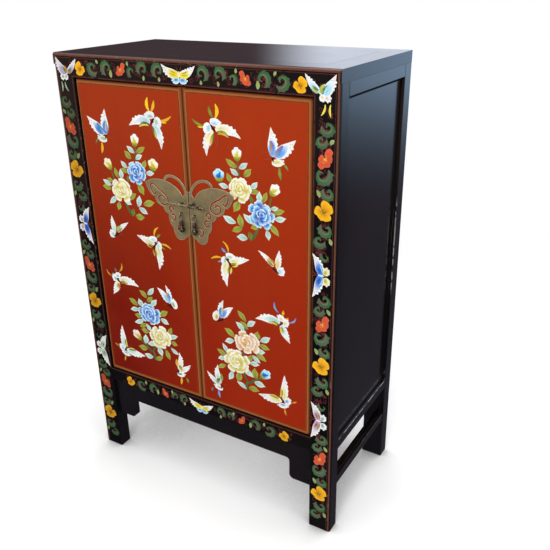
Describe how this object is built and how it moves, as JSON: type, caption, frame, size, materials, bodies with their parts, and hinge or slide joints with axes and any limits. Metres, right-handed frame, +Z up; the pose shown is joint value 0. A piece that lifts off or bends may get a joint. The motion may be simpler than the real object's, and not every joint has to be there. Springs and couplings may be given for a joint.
{
  "type": "cabinet on stand",
  "caption": "Tall lacquered wedding cabinet on legs: red painted doors on wooden pivots, a pierced brass butterfly lock plate with a sliding pin, drop pulls, black frame.",
  "frame": {"origin": "floor level, at the middle of the whole object's bounding box", "axes": "+X to the right seen from the front, -Y is the front with the doors, +Z up"},
  "size_m": [0.8, 0.422, 1.2],
  "materials": {
    "painted_frame": "aged black lacquer with painted flower border",
    "black_lacquer": "satin black lacquer, worn at the edges",
    "red_lacquer": "glossy orange-red lacquer with painted flowers and butterflies",
    "inside_wood": "plain brown-stained softwood",
    "aged_brass": "dull olive-brown aged brass"
  },
  "bodies": {
    "carcass": {"leg_front_left": "painted_frame", "leg_front_right": "painted_frame", "leg_rear_left": "black_lacquer", "leg_rear_right": "black_lacquer", "top_frame_left": "black_lacquer", "top_frame_right": "black_lacquer", "side_top_rail_left": "black_lacquer", "side_top_rail_right": "black_lacquer", "side_bottom_rail_left": "black_lacquer", "side_bottom_rail_right": "black_lacquer", "side_stretcher_left": "black_lacquer", "side_stretcher_right": "black_lacquer", "side_panel_left": "black_lacquer", "side_panel_right": "black_lacquer", "back_panel_left": "black_lacquer", "back_panel_right": "black_lacquer", "shelf_cleat_left": "inside_wood", "shelf_cleat_right": "inside_wood", "top_frame_front": "black_lacquer", "top_frame_rear": "black_lacquer", "top_panel": "black_lacquer", "top_batten": "inside_wood", "front_top_rail": "painted_frame", "front_bottom_rail": "painted_frame", "rear_top_rail": "black_lacquer", "rear_bottom_rail": "black_lacquer", "back_muntin": "black_lacquer", "front_apron": "black_lacquer", "floor_board": "inside_wood", "shelf": "inside_wood", "door_stop_top": "inside_wood", "door_stop_bottom": "inside_wood"},
    "door_left": {"door_left": "red_lacquer", "door_batten_upper_left": "inside_wood", "door_batten_lower_left": "inside_wood", "lock_plate_left": "aged_brass", "pin_staple_left": "aged_brass", "pull_eye_left": "aged_brass"},
    "door_right": {"door_right": "red_lacquer", "door_batten_upper_right": "inside_wood", "door_batten_lower_right": "inside_wood", "lock_plate_right": "aged_brass", "pin_staple_right": "aged_brass", "pull_eye_right": "aged_brass"},
    "drop_pull_left": {"drop_pull_left": "aged_brass"},
    "drop_pull_right": {"drop_pull_right": "aged_brass"},
    "lock_pin": {"lock_pin": "aged_brass"}
  },
  "joints": [
    {"name": "door_left_hinge", "type": "hinge", "parent": "carcass", "child": "door_left", "pos_m": [-0.3265, -0.177, 0.718], "axis": [0, 0, -1], "range_deg": [0, 95]},
    {"name": "door_right_hinge", "type": "hinge", "parent": "carcass", "child": "door_right", "pos_m": [0.3265, -0.177, 0.718], "axis": [0, 0, 1], "range_deg": [0, 95]},
    {"name": "drop_pull_left_swing", "type": "hinge", "parent": "door_left", "child": "drop_pull_left", "pos_m": [-0.02, -0.1985, 0.8355], "axis": [-1, 0, 0], "range_deg": [0, 125]},
    {"name": "drop_pull_right_swing", "type": "hinge", "parent": "door_right", "child": "drop_pull_right", "pos_m": [0.02, -0.1985, 0.8355], "axis": [-1, 0, 0], "range_deg": [0, 125]},
    {"name": "lock_pin_slide", "type": "slide", "parent": "door_right", "child": "lock_pin", "axis": [1, 0, 0], "range_m": [0, 0.07]}
  ]
}
